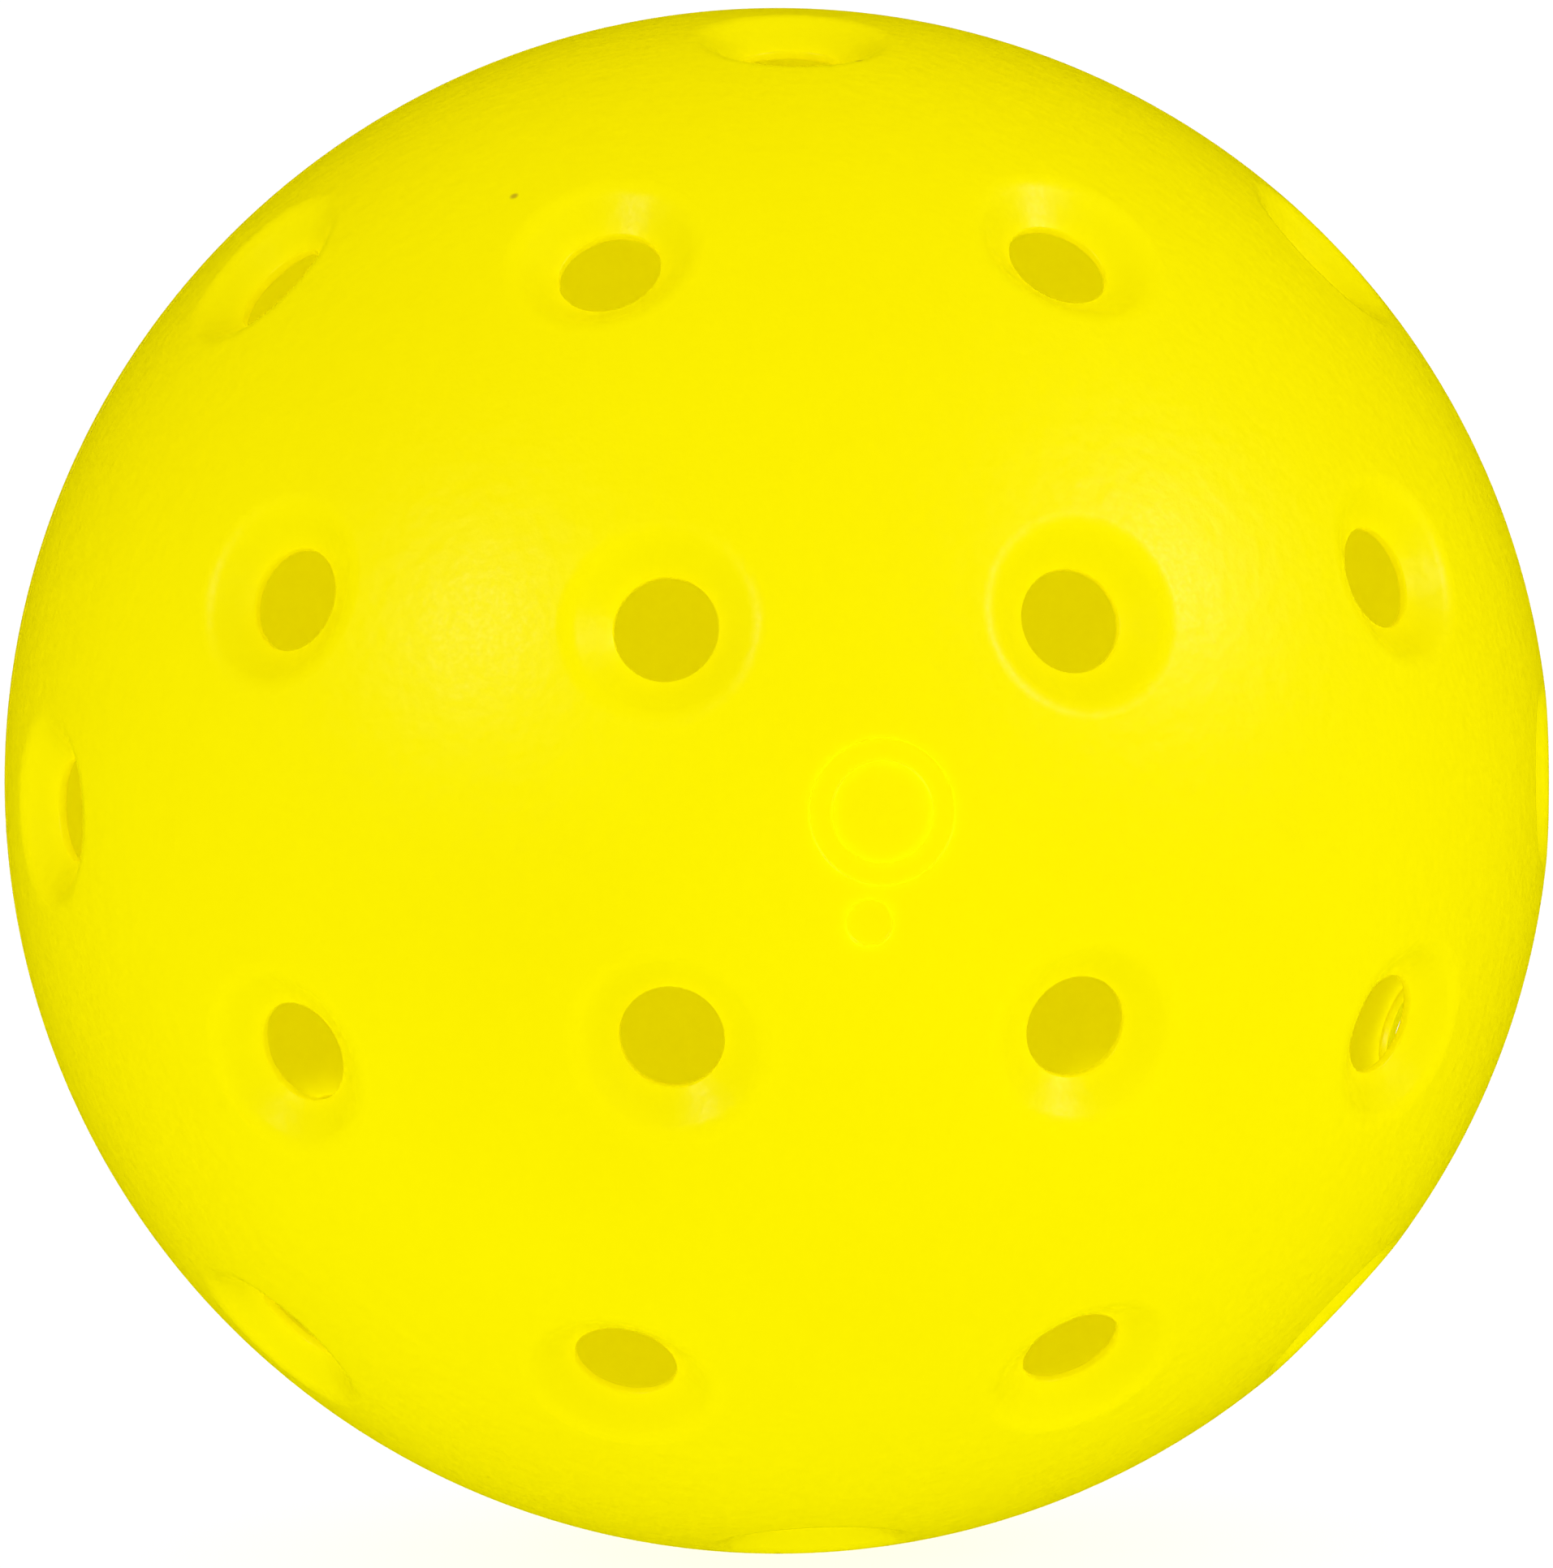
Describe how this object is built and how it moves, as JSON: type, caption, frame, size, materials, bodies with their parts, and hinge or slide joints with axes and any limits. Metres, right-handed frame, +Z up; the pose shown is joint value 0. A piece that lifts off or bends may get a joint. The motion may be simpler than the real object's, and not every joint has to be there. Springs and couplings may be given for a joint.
{
  "type": "pickleball ball",
  "caption": "Hollow perforated plastic court ball, moulded as half shells with dished air holes and welded together around the equator.",
  "frame": {"origin": "centre of the ball", "axes": "+Y along the axis through both poles, from the marked front pole to the plain rear pole; +Z up; the seam lies in the plane Y = 0"},
  "size_m": [0.074, 0.074, 0.074],
  "materials": {
    "shell_plastic": "satin, finely textured, optic yellow polyethylene that glows a little in strong light",
    "weld_plastic": "smooth re-melted optic yellow polyethylene, slightly glossier than the shell"
  },
  "bodies": {
    "root": {"front_half_shell": "shell_plastic", "rear_half_shell": "shell_plastic", "seam_weld_bead": "weld_plastic"}
  },
  "joints": []
}
